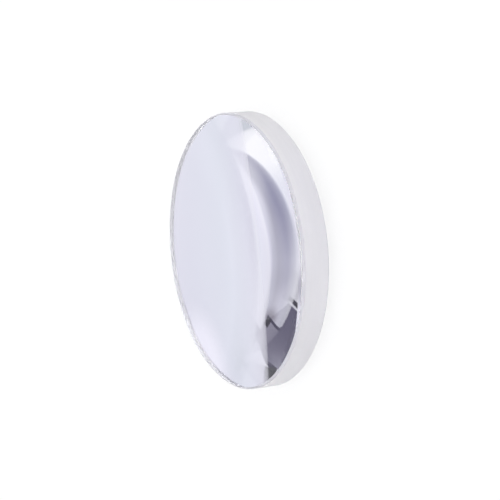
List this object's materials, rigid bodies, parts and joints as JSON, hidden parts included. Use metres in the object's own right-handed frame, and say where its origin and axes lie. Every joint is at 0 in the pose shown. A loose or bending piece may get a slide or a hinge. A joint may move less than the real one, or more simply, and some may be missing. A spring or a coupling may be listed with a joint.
{
  "type": "biconvex lens",
  "caption": "Round biconvex glass lens with two polished convex faces and a fine-ground, bevelled edge; converges light and is held in a cell by its edge.",
  "frame": {"origin": "vertex of the lower polished face, where the lens touches the surface that it lies on", "axes": "+Z along the optical axis, from the lower face to the upper one; X and Y are any two directions across the lens, which is round"},
  "size_m": [0.0254, 0.0254, 0.0051],
  "materials": {
    "crown_glass": "polished convex faces, fine-ground matt edge and bevels"
  },
  "bodies": {
    "root": {"biconvex_lens": "crown_glass"}
  },
  "joints": []
}
